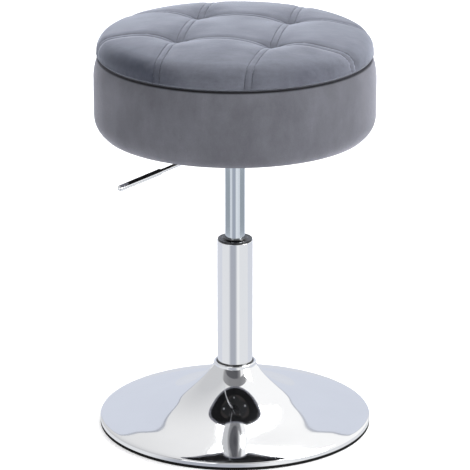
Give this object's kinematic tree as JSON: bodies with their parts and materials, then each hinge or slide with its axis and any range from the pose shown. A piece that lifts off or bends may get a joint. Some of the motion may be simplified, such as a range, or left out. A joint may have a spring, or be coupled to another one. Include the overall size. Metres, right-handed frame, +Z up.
{
  "type": "swivel storage stool",
  "caption": "Round upholstered stool with a tufted lift-off lid over a storage drum, on a gas-lift column with a release lever and a trumpet-shaped pedestal base.",
  "frame": {"origin": "on the floor at the centre of the base, under the column", "axes": "+Z up along the column; -Y is the front that the picture looks at, +X to its right; the seat is raised to the top of its stroke"},
  "size_m": [0.3909, 0.391, 0.5808],
  "materials": {
    "chrome": "polished",
    "steel": "plain",
    "black_steel": "satin",
    "black_plastic": "gloss",
    "rubber": "matte",
    "velvet": "velvet",
    "lining": "plain",
    "foam": "foam",
    "plywood": "bare",
    "twine": "plain"
  },
  "bodies": {
    "base": {"base_shell": "chrome", "base_plate": "black_steel", "floor_ring": "rubber", "base_socket": "steel", "neck_collar": "chrome", "neck_seal": "black_plastic", "outer_tube": "chrome", "guide_bush": "black_plastic", "lower_race": "steel"},
    "rod": {"piston_rod": "chrome", "piston": "steel", "upper_race": "steel", "ball_cage": "black_plastic", "thrust_balls": "steel", "bump_stop": "rubber", "end_washer": "steel", "retaining_clip": "steel"},
    "seat": {"gas_cylinder": "chrome", "rod_gland": "black_plastic", "valve_body": "steel", "seat_hub": "black_steel", "seat_plate": "black_steel", "lever_bracket": "black_steel", "lever_pivot_pin": "steel", "plate_bolts": "steel", "plate_washers": "steel", "t_nuts": "steel", "drum_board": "plywood", "drum_wall": "plywood", "drum_padding": "foam", "drum_cover": "velvet", "drum_lining": "lining", "floor_lining": "lining", "dust_cover": "lining"},
    "lever": {"lever_rod": "chrome", "lever_grip": "chrome"},
    "valve": {"valve_pin": "steel"},
    "lid": {"lid_board": "plywood", "lid_foam": "foam", "lid_cover": "velvet", "lid_ring": "plywood", "lid_lining": "lining", "lid_ring_screws": "steel", "tuft_ties": "twine"}
  },
  "joints": [
    {"name": "swivel", "type": "hinge", "parent": "base", "child": "rod", "pos_m": [0, 0, 0], "axis": [0, 0, 1], "continuous": true},
    {"name": "lift", "type": "slide", "parent": "rod", "child": "seat", "axis": [0, 0, 1], "range_m": [-0.1, 0]},
    {"name": "lever_pull", "type": "hinge", "parent": "seat", "child": "lever", "pos_m": [-0.02852, -0.02196, 0.40911], "axis": [-0.6101, 0.7923, 0], "range_deg": [0, 7], "stiffness_Nm_per_rad": 8, "springref_deg": -11.46},
    {"name": "valve_press", "type": "slide", "parent": "seat", "child": "valve", "axis": [0, 0, 1], "range_m": [-0.0045, 0]},
    {"name": "lid_lift", "type": "slide", "parent": "seat", "child": "lid", "axis": [0, 0, 1], "range_m": [0, 0.15]}
  ],
  "couplings": [
    {"joint": "valve_press", "follows": "lever_pull", "m_per_rad": -0.036}
  ]
}
